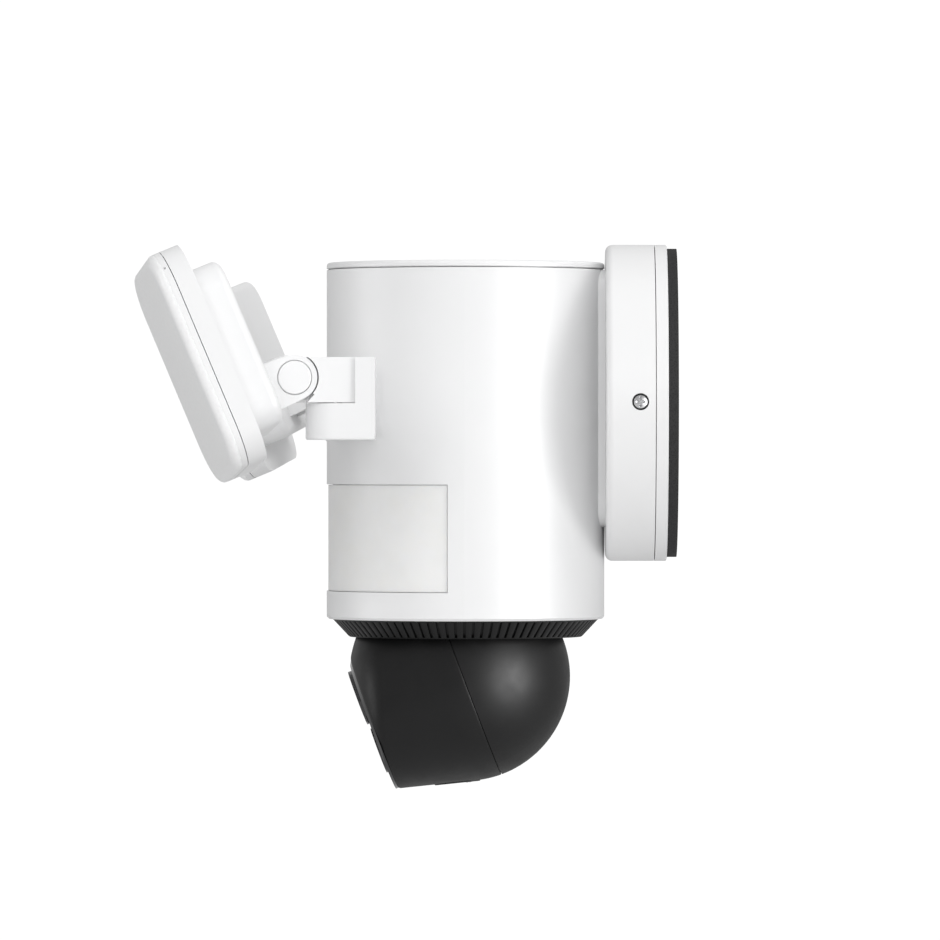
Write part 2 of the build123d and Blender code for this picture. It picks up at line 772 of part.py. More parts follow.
def make_head_shells():
    inner_r = HEAD_R - HEAD_WALL
    lip_r = HEAD_R - HEAD_WALL / 2
    lip_t = 2.0
    diagonal = cos(radians(45))
    spin = Plane(origin=HEAD_CENTRE, x_dir=SEAM_DIR, z_dir=SEAM_NORMAL)
    slot = neck_slot()

    with BuildPart() as rear:
        with BuildSketch(spin):
            with BuildLine():
                ThreePointArc((HEAD_R, 0), (HEAD_R * diagonal, -HEAD_R * diagonal), (0, -HEAD_R))
                Line((0, -HEAD_R), (0, -inner_r))
                ThreePointArc((0, -inner_r), (inner_r * diagonal, -inner_r * diagonal), (inner_r, 0))
                Polyline((inner_r, 0), (inner_r, lip_t), (lip_r, lip_t), (lip_r, 0), (HEAD_R, 0))
            make_face()
        revolve(axis=LOOK_AXIS)
        add(slot, mode=Mode.SUBTRACT)
    save(rear.part, "head_rear_shell")

    with BuildPart(mode=Mode.PRIVATE) as hollow:
        add(head_solid(HEAD_WALL))
        add(rim_cutter(RIM_BALL_R - HEAD_WALL), mode=Mode.SUBTRACT)
    with BuildPart() as front:
        add(head_solid(0))
        # the upper rim is rounded back so that it passes inside the vent ring
        add(rim_cutter(RIM_BALL_R), mode=Mode.SUBTRACT)
        add(hollow.part, mode=Mode.SUBTRACT)
        # ledge that the chassis is fastened to
        with BuildSketch(LOOK.offset(CHASSIS_AT + CHASSIS_T)):
            Circle(shell_radius(CHASSIS_AT + CHASSIS_T, HEAD_WALL) + 0.6)
            Circle(31.0, mode=Mode.SUBTRACT)
        extrude(amount=1.6)
        # recess that takes the lip of the rear shell
        with BuildSketch(LOOK):
            Circle(lip_r + 0.1)
            Circle(lip_r - 10, mode=Mode.SUBTRACT)
        extrude(amount=lip_t + 0.3, mode=Mode.SUBTRACT)
        # narrow reveal between the two shells
        with BuildSketch(LOOK):
            Circle(HEAD_R + 5)
            Circle(lip_r - 1, mode=Mode.SUBTRACT)
        extrude(amount=GAP, mode=Mode.SUBTRACT)
        add(slot, mode=Mode.SUBTRACT)
        # pocket for the card cover on the underside
        with BuildSketch(card_plane().offset(-1.4)):
            SlotOverall(17.4, 9.4)
        extrude(amount=6.0, mode=Mode.SUBTRACT)
    save(front.part, "head_front_shell")


def card_plane():
    """Plane on the underside of the front shell, tangent to its cone."""
    cone = radians(HEAD_CONE)
    forward = 17.0
    radius = shell_radius(forward)
    normal = LOOK.y_dir * -cos(cone) + LOOK.z_dir * sin(cone)
    along = LOOK.z_dir * cos(cone) + LOOK.y_dir * sin(cone)
    return Plane(origin=look_point(forward, -radius), x_dir=along, z_dir=normal)


def make_card_cover():
    with BuildPart() as cover:
        with BuildSketch(card_plane().offset(-1.4)):
            SlotOverall(17.0, 9.0)
        extrude(amount=4.0)
        add(head_solid(0), mode=Mode.INTERSECT)
        with BuildSketch(card_plane().offset(-2.4)):
            with Locations((-4.2, 0)):
                Circle(1.9)
        extrude(amount=6.0, mode=Mode.SUBTRACT)
    save(cover.part, "card_cover")

    with BuildPart() as screw:
        with BuildSketch(card_plane().offset(-1.35)):
            with Locations((-4.2, 0)):
                Circle(1.8)
        extrude(amount=1.1)
        with BuildSketch(card_plane().offset(-0.8)):
            with Locations((-4.2, 0)):
                Rectangle(2.2, 0.5)
                Rectangle(0.5, 2.2)
        extrude(amount=1.0, mode=Mode.SUBTRACT)
    save(screw.part, "card_cover_screw")


def make_face_plate():
    with BuildPart(mode=Mode.PRIVATE) as spigot:
        with BuildSketch(LOOK.offset(FACE_AT - FACE_PROUD)):
            Circle(shell_radius(FACE_AT, HEAD_WALL) - 0.2)
        extrude(amount=FACE_PROUD)
        add(rim_cutter(RIM_BALL_R - HEAD_WALL - 0.2), mode=Mode.SUBTRACT)
    with BuildPart() as face:
        with BuildSketch(LOOK.offset(FACE_AT)):
            Circle(shell_radius(FACE_AT) - 0.25)
        extrude(amount=FACE_PROUD)
        add(rim_cutter(RIM_BALL_R - GAP), mode=Mode.SUBTRACT)
        add(spigot.part)
        with BuildSketch(LOOK.offset(FACE_AT - 3)):
            with Locations((0, WIDE_UP)):
                Circle(WIDE_R - 1.8)
            with Locations((0, TELE_UP)):
                Circle(TELE_R - 1.8)
        extrude(amount=6.0, mode=Mode.SUBTRACT)
    save(face.part, "face_plate")


def make_lens(name, up, bezel_r, front):
    """Bezel, front glass and barrel of one camera lens."""
    seat = FACE_AT + FACE_PROUD
    with BuildPart() as bezel:
        with BuildSketch(LOOK.offset(seat)):
            with Locations((0, up)):
                Circle(bezel_r)
                Circle(bezel_r - 2.7, mode=Mode.SUBTRACT)
        extrude(amount=front - seat)
        mouth_edges = bezel.edges().filter_by(GeomType.CIRCLE).sort_by(SortBy.RADIUS)[:2]
        chamfer(mouth_edges.sort_by(LOOK_AXIS)[-1:], 0.8)
        with BuildSketch(LOOK.offset(seat)):
            with Locations((0, up)):
                Circle(bezel_r - 1.9)
                Circle(bezel_r - 2.7, mode=Mode.SUBTRACT)
        extrude(amount=-1.4)
    save(bezel.part, f"{name}_lens_bezel")

    with BuildPart() as glass:
        with BuildSketch(LOOK.offset(seat - 0.9)):
            with Locations((0, up)):
                Circle(bezel_r - 2.8)
        extrude(amount=1.2)
        chamfer(glass.faces().sort_by(LOOK_AXIS)[-1].edges(), 0.3)
    save(glass.part, f"{name}_lens_glass")

    with BuildPart() as barrel:
        with BuildSketch(LOOK.offset(BOARD_AT + BOARD_T)):
            with Locations((0, up)):
                Circle(bezel_r - 2.2)
        extrude(amount=9.0)
        with BuildSketch(LOOK.offset(BOARD_AT + BOARD_T + 9.0)):
            with Locations((0, up)):
                Circle(bezel_r - 3.0)
        extrude(amount=seat - 1.1 - BOARD_AT - BOARD_T - 9.0)
        with BuildSketch(LOOK.offset(seat - 1.1)):
            with Locations((0, up)):
                Circle(bezel_r - 5.0)
        extrude(amount=-2.5, taper=25, mode=Mode.SUBTRACT)
    save(barrel.part, f"{name}_lens_barrel")


def make_camera_board():
    with BuildPart() as board:
        with BuildSketch(LOOK.offset(BOARD_AT)):
            with Locations((0, -3)):
                RectangleRounded(42, 42, 4)
        extrude(amount=BOARD_T)
        with BuildSketch(LOOK.offset(BOARD_AT + BOARD_T)):
            with Locations((-16, -4), (16, -4)):
                Circle(2.5)
        extrude(amount=3.2)
        with BuildSketch(LOOK.offset(BOARD_AT + BOARD_T)):
            with Locations((-15, 10), (15, 10)):
                Rectangle(6, 6)
        extrude(amount=1.2)
    save(board.part, "camera_board")


def make_head_chassis():
    disc_r = shell_radius(CHASSIS_AT + CHASSIS_T, HEAD_WALL) - 0.5
    with BuildPart() as chassis:
        with BuildSketch(LOOK.offset(CHASSIS_AT)):
            Circle(disc_r)
            with Locations((-24, 0), (24, 0)):
                SlotOverall(22, 8, rotation=90, mode=Mode.SUBTRACT)
        extrude(amount=CHASSIS_T)
        with BuildSketch(LOOK.offset(CHASSIS_AT + CHASSIS_T)):
            with GridLocations(32, 34, 2, 2):
                Circle(2.2)
        extrude(amount=BOARD_AT - CHASSIS_AT - CHASSIS_T)
        for side in SIDES.values():
            with BuildSketch(HEAD_SIDE.offset(side * (CHEEK_AT + CHEEK_T / 2) - CHEEK_T / 2)):
                with Locations((CHASSIS_AT / 2, 0)):
                    Rectangle(CHASSIS_AT, 13)
                Circle(6.5)
                Circle(2.5 + RUNNING, mode=Mode.SUBTRACT)
            extrude(amount=CHEEK_T)
    save(chassis.part, "head_chassis")


# ---------------------------------------------------------------- lights
class Light:
    """Planes of one light: side is -1 on the left and 1 on the right."""

    def __init__(self, side):
        yaw = radians(LIGHT_YAW)
        tilt = radians(LIGHT_TILT)
        self.side = side
        self.across = Vector(cos(yaw), side * sin(yaw), 0)
        self.ahead = Vector(side * sin(yaw), -cos(yaw), 0)
        self.swivel = Vector(side * SWIVEL_X, SWIVEL_Y, 0)
        self.hinge = self.swivel + self.ahead * HINGE_REACH + Vector(0, 0, HINGE_Z)
        self.facing = self.ahead * cos(tilt) + Vector(0, 0, -sin(tilt))
        self.up = self.facing.cross(self.across)

    def face(self, depth):
        """Plane parallel to the panel, depth in front of the hinge, centred on the panel."""
        origin = self.hinge + self.facing * depth + self.up * PANEL_RISE
        roll = radians(LIGHT_ROLL)
        x_dir = self.across * cos(roll) + self.up * (self.side * sin(roll))
        return Plane(origin=origin, x_dir=x_dir, z_dir=self.facing)

    def flank(self, offset):
        """Plane across the hinge axis: x runs forwards to the panel and y up along it."""
        origin = self.hinge + self.across * offset
        return Plane(origin=origin, x_dir=self.facing, z_dir=self.across * -1)

    def arm_flank(self, offset):
        """Level plane across the hinge axis: x runs ahead from the swivel and y up."""
        origin = self.swivel + self.across * offset
        return Plane(origin=origin, x_dir=self.ahead, z_dir=self.across * -1)

    def floor(self, z):
        """Horizontal plane on the swivel's axis, with y towards the wall."""
        origin = self.swivel + Vector(0, 0, z)
        return Plane(origin=origin, x_dir=self.across, z_dir=(0, 0, 1))


def make_arm_bracket(light, name):
    side = light.side
    block = Plane(origin=(side * SWIVEL_X, SWIVEL_Y, ARM_BOTTOM))
    rear = BRACKET_BACK - SWIVEL_Y
    column = COLUMN_FRONT - SWIVEL_Y
    with BuildPart() as bracket:
        with BuildSketch(block):
            Circle(KNUCKLE_R)
            with Locations((0, rear / 2)):
                Rectangle(2 * KNUCKLE_R, rear)
        extrude(amount=ARM_SPLIT - ARM_BOTTOM)
        fillet(bracket.edges().group_by(Axis.Z)[0], 0.8)
        with BuildSketch(block.offset(ARM_SPLIT - ARM_BOTTOM)):
            with Locations((0, (rear + column) / 2)):
                Rectangle(2 * KNUCKLE_R, rear - column)
            Circle(ARM_REAR_R + GAP, mode=Mode.SUBTRACT)
        extrude(amount=ARM_TOP - ARM_SPLIT)
        # bar and curved pad against the housing
        with BuildSketch(bar_plane(side, 30)):
            with Locations((0, BAR_Z)):
                RectangleRounded(BAR_DEPTH, BAR_HEIGHT, 2.5)
        extrude(amount=SWIVEL_X - 30)
        with BuildSketch(level(PAD_BOTTOM)):
            Circle(HOUSING_R + PAD_T)
            with Locations((side * 30, BAR_Y - AXIS_Y)):
                Rectangle(40, BAR_DEPTH, mode=Mode.INTERSECT)
        extrude(amount=PAD_TOP - PAD_BOTTOM)
        with BuildSketch(Plane.XY.offset(HOUSING_BOTTOM)):
            with Locations((0, AXIS_Y)):
                Circle(HOUSING_R)
        extrude(amount=HOUSING_TOP - HOUSING_BOTTOM, mode=Mode.SUBTRACT)
        # wire way, swivel pin seat and pad screw holes
        with BuildSketch(bar_plane(side, 10)):
            with Locations((0, BAR_Z)):
                Circle(BAR_BORE_R)
        extrude(amount=SWIVEL_X - 10 - SWIVEL_PIN_R - 1, mode=Mode.SUBTRACT)
        with BuildSketch(bar_plane(side, 10)):
            with Locations(*((side * y, z) for y, z in PAD_SCREWS)):
                Circle(1.3)
        extrude(amount=34, mode=Mode.SUBTRACT)
        with BuildSketch(block):
            Circle(SWIVEL_PIN_R)
        extrude(amount=ARM_SPLIT - ARM_BOTTOM, mode=Mode.SUBTRACT)
        with BuildSketch(block):
            Circle(SWIVEL_PIN_R + 2.2)
        extrude(amount=2.2, mode=Mode.SUBTRACT)
    save(bracket.part, f"{name}_arm_bracket")


def make_swivel_pin(light, name):
    with BuildPart() as pin:
        with BuildSketch(light.floor(ARM_BOTTOM + 0.3)):
            Circle(SWIVEL_PIN_R + 2.0)
            RegularPolygon(2.0, 6, mode=Mode.SUBTRACT)
        extrude(amount=1.9)
        with BuildSketch(light.floor(ARM_BOTTOM + 2.2)):
            Circle(SWIVEL_PIN_R)
        extrude(amount=HINGE_Z + 1 - ARM_BOTTOM - 2.2)
    save(pin.part, f"{name}_swivel_pin")


def make_swivel_arm(light, name):
    bottom = ARM_SPLIT + GAP
    end_r = ARM_TOP - HINGE_Z
    clear_r = HINGE_R + 0.5
    clear_h = 2 * clear_r + 1.2
    fork_l = 30.0
    nod = LIGHT_TILT + LIGHT_NOD
    with BuildPart() as arm:
        with BuildSketch(light.arm_flank(ARM_HALF)):
            with Locations((HINGE_REACH, HINGE_Z)):
                Circle(end_r)
            with BuildLine():
                Polyline(
                    (-ARM_REAR_R - 1, bottom),
                    (HINGE_REACH - 1.0, bottom),
                    (HINGE_REACH + end_r * sin(radians(50)), HINGE_Z - end_r * cos(radians(50))),
                    (HINGE_REACH, HINGE_Z),
                    (HINGE_REACH, ARM_TOP),
                    (-ARM_REAR_R - 1, ARM_TOP),
                    close=True,
                )
            make_face()
        extrude(amount=2 * ARM_HALF)
        with BuildSketch(light.floor(ARM_BOTTOM)):
            Circle(ARM_REAR_R)
            with Locations((0, -20)):
                Rectangle(30, 40)
        extrude(amount=40, mode=Mode.INTERSECT)
        for start, amount in ((TONGUE_HALF, 6.0), (-TONGUE_HALF, -6.0)):
            with BuildSketch(light.arm_flank(start)):
                with Locations((HINGE_REACH, HINGE_Z)):
                    Circle(clear_r)
                    Rectangle(fork_l, clear_h, rotation=-nod, align=(Align.MIN, Align.CENTER))
                with Locations((HINGE_REACH - 2, HINGE_Z)):
                    Rectangle(fork_l, 40, align=(Align.MIN, Align.CENTER))
            extrude(amount=-amount, mode=Mode.SUBTRACT)
        with BuildSketch(light.arm_flank(10)):
            with Locations((HINGE_REACH, HINGE_Z)):
                Circle(HINGE_PIN_R + RUNNING)
        extrude(amount=20, mode=Mode.SUBTRACT)
        with BuildSketch(light.floor(ARM_BOTTOM)):
            Circle(SWIVEL_PIN_R + RUNNING)
        extrude(amount=HINGE_Z + 1.5 - ARM_BOTTOM, mode=Mode.SUBTRACT)
    save(arm.part, f"{name}_swivel_arm")


def make_light_housing(light, name):
    with BuildPart() as housing:
        with BuildSketch(light.face(TIER_BACK)):
            RectangleRounded(TIER, TIER, TIER_CORNER)
        extrude(amount=RIM_BACK - TIER_BACK + 1)
        fillet(housing.faces().sort_by(light_axis(light))[0].edges(), 3.0)
        with BuildSketch(light.face(RIM_BACK)):
            RectangleRounded(PANEL, PANEL, PANEL_CORNER)
        extrude(amount=LIGHT_SEAM - RIM_BACK)
        # hollow for the emitter board
        with BuildSketch(light.face(TIER_BACK + LIGHT_WALL)):
            RectangleRounded(TIER - 2 * LIGHT_WALL, TIER - 2 * LIGHT_WALL, TIER_CORNER - LIGHT_WALL)
        extrude(amount=30, mode=Mode.SUBTRACT)
        with BuildSketch(light.face(RIM_BACK + LIGHT_WALL)):
            RectangleRounded(PANEL - 2 * LIGHT_WALL, PANEL - 2 * LIGHT_WALL, PANEL_CORNER - LIGHT_WALL)
        extrude(amount=30, mode=Mode.SUBTRACT)
        # hinge lugs
        for start in (LUG_HALF, -TONGUE_HALF - GAP):
            with BuildSketch(light.flank(start)):
                Circle(HINGE_R)
                with BuildLine():
                    Polyline((0, -HINGE_R), (TIER_BACK + 1, -9), (TIER_BACK + 1, 9), (0, HINGE_R),
                             close=True)
                make_face()
            extrude(amount=LUG_HALF - TONGUE_HALF - GAP)
        with BuildSketch(light.flank(20)):
            Circle(HINGE_PIN_R)
        extrude(amount=40, mode=Mode.SUBTRACT)
        for start, amount in ((LUG_HALF, 1.0), (-LUG_HALF, -1.0)):
            with BuildSketch(light.flank(start)):
                Circle(HINGE_CAP_R + 0.3)
            extrude(amount=amount, mode=Mode.SUBTRACT)
    save(housing.part, f"{name}_light_housing")


def light_axis(light):
    """Axis along the light's facing direction, for sorting."""
    return Axis(tuple(light.hinge), tuple(light.facing))


def make_hinge_pin(light, name):
    with BuildPart() as pin:
        with BuildSketch(light.flank(LUG_HALF - 1.0)):
            Circle(HINGE_PIN_R)
        extrude(amount=2 * LUG_HALF - 2.0)
        for start, amount in ((LUG_HALF - 1.0, -1.5), (-LUG_HALF + 1.0, 1.5)):
            with BuildSketch(light.flank(start)):
                Circle(HINGE_CAP_R)
            extrude(amount=amount)
        rims = pin.edges().filter_by(GeomType.CIRCLE).sort_by(Axis(tuple(light.hinge), tuple(light.across)))
        fillet([rims[0], rims[-1]], 0.5)
    save(pin.part, f"{name}_hinge_pin")


def make_light_front(light, name):
    board_side = 70.0
    with BuildPart() as board:
        with BuildSketch(light.face(RIM_BACK + LIGHT_WALL)):
            RectangleRounded(board_side, board_side, 9)
        extrude(amount=1.6)
        with BuildSketch(light.face(RIM_BACK + LIGHT_WALL + 1.6)):
            with GridLocations(11, 11, 5, 5):
                Rectangle(3.5, 3.5)
        extrude(amount=0.8)
    save(board.part, f"{name}_led_board")

    lens = PANEL - 6.4
    lens_corner = PANEL_CORNER - 3.2
    seat = PANEL - 2 * LIGHT_WALL - 0.2
    with BuildPart() as bezel:
        with BuildSketch(light.face(LIGHT_SEAM + 0.3)):
            RectangleRounded(PANEL, PANEL, PANEL_CORNER)
        extrude(amount=BEZEL_FRONT - LIGHT_SEAM - 0.3)
        chamfer(bezel.faces().sort_by(light_axis(light))[-1].edges(), 0.6)
        with BuildSketch(light.face(LIGHT_SEAM)):
            RectangleRounded(lens + 0.4, lens + 0.4, lens_corner + 0.2)
        extrude(amount=5, mode=Mode.SUBTRACT)
        with BuildSketch(light.face(LIGHT_SEAM + 0.3)):
            RectangleRounded(seat, seat, PANEL_CORNER - LIGHT_WALL)
            RectangleRounded(lens - 4, lens - 4, lens_corner - 2, mode=Mode.SUBTRACT)
        extrude(amount=-1.8)
        # pinhole in the outer upper corner's rim
        corner = PANEL / 2 - PANEL_CORNER
        turn = radians(PINHOLE_TURN)
        outward = (light.side * cos(turn), sin(turn))
        rim = light.face((LIGHT_SEAM + GAP + BEZEL_FRONT) / 2)
        centre = rim.from_local_coords((light.side * corner + outward[0] * (PANEL_CORNER + 1),
                                        corner + outward[1] * (PANEL_CORNER + 1), 0))
        inward = rim.x_dir * -outward[0] + rim.y_dir * -outward[1]
        with BuildSketch(Plane(origin=centre, z_dir=inward)):
            Circle(PINHOLE_R)
        extrude(amount=2.0, mode=Mode.SUBTRACT)
    save(bezel.part, f"{name}_light_bezel")

    with BuildPart() as diffuser:
        with BuildSketch(light.face(LIGHT_SEAM + 0.3)):
            RectangleRounded(lens, lens, lens_corner)
        extrude(amount=LENS_CROWN - LIGHT_SEAM - 0.3)
        fillet(diffuser.faces().sort_by(light_axis(light))[-1].edges(), 3.0)
        with BuildSketch(light.face(LIGHT_SEAM)):
            RectangleRounded(lens - 4, lens - 4, lens_corner - 2)
        extrude(amount=LENS_CROWN - LIGHT_SEAM - 2.0, mode=Mode.SUBTRACT)
    save(diffuser.part, f"{name}_light_diffuser")


# ---------------------------------------------------------------- build everything
make_wall_gasket()
make_mounting_plate()
make_canopy_back_ring()
make_canopy_cover()
make_canopy_side_screws()
make_terminal_block()
make_rear_saddle()
make_saddle_screws()
make_main_housing()
make_cap_and_seal()
make_pir_parts()
make_vent_ring()
make_head_well()
make_electronics()
make_pan_drive()
make_tilt_drive()
make_head_shells()
make_card_cover()
make_face_plate()
make_lens("wide", WIDE_UP, WIDE_R, WIDE_FRONT)
make_lens("tele", TELE_UP, TELE_R, TELE_FRONT)
make_camera_board()
make_head_chassis()
for name, side in SIDES.items():
    light = Light(side)
    make_arm_bracket(light, name)
    make_swivel_pin(light, name)
    make_swivel_arm(light, name)
    make_light_housing(light, name)
    make_hinge_pin(light, name)
    make_light_front(light, name)
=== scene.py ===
"""Looks of the floodlight security camera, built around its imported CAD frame. Lengths in metres."""

import json
import math

import bpy
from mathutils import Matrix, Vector


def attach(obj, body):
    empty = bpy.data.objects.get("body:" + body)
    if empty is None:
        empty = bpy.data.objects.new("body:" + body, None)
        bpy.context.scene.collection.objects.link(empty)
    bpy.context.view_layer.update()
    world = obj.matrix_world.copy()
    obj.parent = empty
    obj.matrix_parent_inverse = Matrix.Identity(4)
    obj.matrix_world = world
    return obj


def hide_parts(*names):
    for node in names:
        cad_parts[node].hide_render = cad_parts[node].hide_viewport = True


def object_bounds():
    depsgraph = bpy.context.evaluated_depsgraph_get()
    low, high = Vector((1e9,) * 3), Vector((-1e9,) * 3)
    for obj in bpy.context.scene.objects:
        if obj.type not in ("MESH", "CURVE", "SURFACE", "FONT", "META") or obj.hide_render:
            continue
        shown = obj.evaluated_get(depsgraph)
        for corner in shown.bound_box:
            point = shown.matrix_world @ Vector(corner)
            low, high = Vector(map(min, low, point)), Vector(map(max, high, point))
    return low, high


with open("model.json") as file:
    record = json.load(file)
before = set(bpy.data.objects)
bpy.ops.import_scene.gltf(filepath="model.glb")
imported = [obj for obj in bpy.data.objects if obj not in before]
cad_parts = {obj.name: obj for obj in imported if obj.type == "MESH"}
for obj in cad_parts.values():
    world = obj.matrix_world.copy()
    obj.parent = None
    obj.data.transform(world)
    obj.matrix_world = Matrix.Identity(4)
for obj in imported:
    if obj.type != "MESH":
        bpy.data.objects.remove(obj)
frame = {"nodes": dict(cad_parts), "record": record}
cad_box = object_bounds()
nodes = frame["nodes"]
record = frame["record"]
SLOT_OF = {part["node"]: part["material_slot"] for part in record["subparts"]}
MM = 0.001


# ---------------------------------------------------------------- material building blocks
# the colour sockets of a Mix node
MIX_A = 6
MIX_B = 7
MIX_RESULT = 2


class Look:
    """A procedural material: one principled shader, with helpers for its noise, bump and colours."""

    def __init__(self, name, **sockets):
        self.material = bpy.data.materials.new(name)
        self.material.use_nodes = True
        self.nodes = self.material.node_tree.nodes
        self.links = self.material.node_tree.links
        self.shader = self.nodes["Principled BSDF"]
        for socket, value in sockets.items():
            self.shader.inputs[socket.replace("_", " ")].default_value = value
        self.place = self.add("ShaderNodeTexCoord").outputs["Object"]

    def add(self, kind, **settings):
        node = self.nodes.new(kind)
        for key, value in settings.items():
            setattr(node, key, value)
        return node

    def noise(self, size, detail=3.0, roughness=0.55, stretch=None):
        """Noise whose features are about size metres across."""
        node = self.add("ShaderNodeTexNoise")
        node.inputs["Scale"].default_value = 1 / size
        node.inputs["Detail"].default_value = detail
        node.inputs["Roughness"].default_value = roughness
        place = self.place
        if stretch:
            mapping = self.add("ShaderNodeMapping")
            mapping.inputs["Scale"].default_value = stretch
            self.links.new(place, mapping.inputs["Vector"])
            place = mapping.outputs["Vector"]
        self.links.new(place, node.inputs["Vector"])
        return node.outputs["Fac"]

    def cells(self, size):
        """Distance to the nearest of points about size metres apart."""
        node = self.add("ShaderNodeTexVoronoi", feature="F1")
        node.inputs["Scale"].default_value = 1 / size
        self.links.new(self.place, node.inputs["Vector"])
        return node.outputs["Distance"]

    def ramp(self, value, low, high, start=0.35, end=0.65):
        """Colours from low to high as value goes from start to end."""
        node = self.add("ShaderNodeValToRGB")
        first, last = node.color_ramp.elements
        first.position, last.position = start, end
        first.color, last.color = (*low, 1), (*high, 1)
        self.links.new(value, node.inputs["Fac"])
        return node.outputs["Color"]

    def spread(self, value, low, high, start=0.3, end=0.7):
        """Numbers from low to high as value goes from start to end."""
        node = self.add("ShaderNodeMapRange")
        for socket, number in zip(("From Min", "From Max", "To Min", "To Max"), (start, end, low, high)):
            node.inputs[socket].default_value = number
        self.links.new(value, node.inputs["Value"])
        return node.outputs["Result"]

    def mix(self, factor, a, b):
        """Colour a where factor is 0, and b where it is 1."""
        node = self.add("ShaderNodeMix", data_type="RGBA")
        self.links.new(factor, node.inputs["Factor"])
        node.inputs[MIX_A].default_value = (*a, 1)
        node.inputs[MIX_B].default_value = (*b, 1)
        return node.outputs[MIX_RESULT]

    def bump(self, height, depth, strength=1.0, under=None):
        """Bump of a real depth in metres, on top of another bump if one is given."""
        node = self.add("ShaderNodeBump")
        node.inputs["Strength"].default_value = strength
        node.inputs["Distance"].default_value = depth
        self.links.new(height, node.inputs["Height"])
        if under is not None:
            self.links.new(under, node.inputs["Normal"])
        return node.outputs["Normal"]

    def set(self, socket, value):
        self.links.new(value, self.shader.inputs[socket])
        return self


def moulded(name, colour, roughness, grain, depth, variation=0.03, **sockets):
    """Moulded plastic: fine spark-eroded grain, faint flow marks and slightly uneven gloss."""
    look = Look(name, **sockets)
    darker = tuple(channel * (1 - variation) for channel in colour)
    cloud = look.noise(24 * MM, detail=4)
    body = look.ramp(cloud, darker, colour)
    look.set("Base Color", body)
    gloss = look.noise(7 * MM, detail=5)
    look.set("Roughness", look.spread(gloss, roughness - 0.04, roughness + 0.05))
    flow = look.bump(look.noise(11 * MM, detail=1), 0.02 * MM, 0.35)
    look.set("Normal", look.bump(look.noise(grain, detail=2), depth, 0.5, under=flow))
    return look


# ---------------------------------------------------------------- materials
def white_plastic():
    return moulded("white_plastic", (0.80, 0.802, 0.806), 0.42, 0.35 * MM, 0.004 * MM, 0.012,
                   Specular_IOR_Level=0.42)


def canopy_plastic():
    return moulded("canopy_plastic", (0.81, 0.811, 0.814), 0.36, 0.5 * MM, 0.003 * MM, 0.01,
                   Specular_IOR_Level=0.45)


def window_plastic():
    """Milky polyethylene of the motion sensor window, cloudy in tone, with a fine grain on its skin."""
    look = Look("window_plastic", Subsurface_Weight=0.35, Subsurface_Scale=0.004, Specular_IOR_Level=0.4)
    look.shader.inputs["Subsurface Radius"].default_value = (1.0, 0.9, 0.75)
    cloud = look.noise(18 * MM, detail=3)
    look.set("Base Color", look.ramp(cloud, (0.84, 0.835, 0.815), (0.875, 0.87, 0.855)))
    look.set("Roughness", look.spread(look.noise(5 * MM), 0.44, 0.54))
    look.set("Normal", look.bump(look.noise(0.6 * MM), 0.006 * MM, 0.6))
    return look


def diffuser_plastic():
    """Frosted lens of the lights: fine prismatic cells under a satin skin."""
    look = Look("diffuser_plastic", Subsurface_Weight=0.3, Subsurface_Scale=0.003, Specular_IOR_Level=0.45)
    look.shader.inputs["Subsurface Radius"].default_value = (1.0, 1.0, 1.0)
    cells = look.cells(1.5 * MM)
    look.set("Base Color", look.ramp(cells, (0.90, 0.905, 0.91), (0.94, 0.945, 0.95), 0.1, 0.6))
    look.set("Roughness", look.spread(look.noise(6 * MM), 0.36, 0.46))
    fine = look.bump(look.noise(0.4 * MM), 0.004 * MM, 0.5)
    look.set("Normal", look.bump(cells, 0.02 * MM, 0.4, under=fine))
    return look


def black_plastic():
    return moulded("black_plastic", (0.0050, 0.0050, 0.0053), 0.46, 0.28 * MM, 0.006 * MM, 0.12,
                   Specular_IOR_Level=0.28)


def smoked_plastic():
    return moulded("smoked_plastic", (0.012, 0.012, 0.014), 0.16, 0.9 * MM, 0.001 * MM, 0.1,
                   Coat_Weight=0.6, Coat_Roughness=0.05)


def foam_rubber():
    """Closed-cell foam: matt, with open pores."""
    look = Look("foam_rubber", Specular_IOR_Level=0.25)
    pores = look.cells(0.55 * MM)
    look.set("Base Color", look.ramp(pores, (0.009, 0.009, 0.009), (0.03, 0.03, 0.031), 0.05, 0.5))
    look.set("Roughness", look.spread(look.noise(2 * MM), 0.82, 0.95))
    look.set("Normal", look.bump(pores, 0.12 * MM, 0.5))
    return look


def zinc_steel():
    """Zinc-plated steel with fine drawn lines and a spangled tone."""
    look = Look("zinc_steel", Metallic=1.0)
    lines = look.noise(0.25 * MM, detail=4, stretch=(1, 1, 0.08))
    look.set("Base Color", look.ramp(lines, (0.62, 0.62, 0.63), (0.70, 0.70, 0.71)))
    look.set("Roughness", look.spread(look.noise(1.5 * MM), 0.26, 0.42))
    look.set("Normal", look.bump(lines, 0.002 * MM, 0.3))
    return look


def cast_aluminium():
    look = Look("cast_aluminium", Metallic=1.0)
    grain = look.noise(0.5 * MM, detail=5, roughness=0.7)
    look.set("Base Color", look.ramp(grain, (0.52, 0.52, 0.53), (0.72, 0.72, 0.73)))
    look.set("Roughness", look.spread(grain, 0.42, 0.6))
    look.set("Normal", look.bump(grain, 0.05 * MM, 0.6))
    return look


def motor_can():
    look = Look("motor_can", Metallic=0.9)
    lines = look.noise(0.3 * MM, detail=3, stretch=(0.1, 1, 1))
    look.set("Base Color", look.ramp(lines, (0.16, 0.16, 0.17), (0.26, 0.26, 0.27)))
    look.set("Roughness", look.spread(look.noise(3 * MM), 0.3, 0.45))
    look.set("Normal", look.bump(lines, 0.01 * MM, 0.3))
    return look


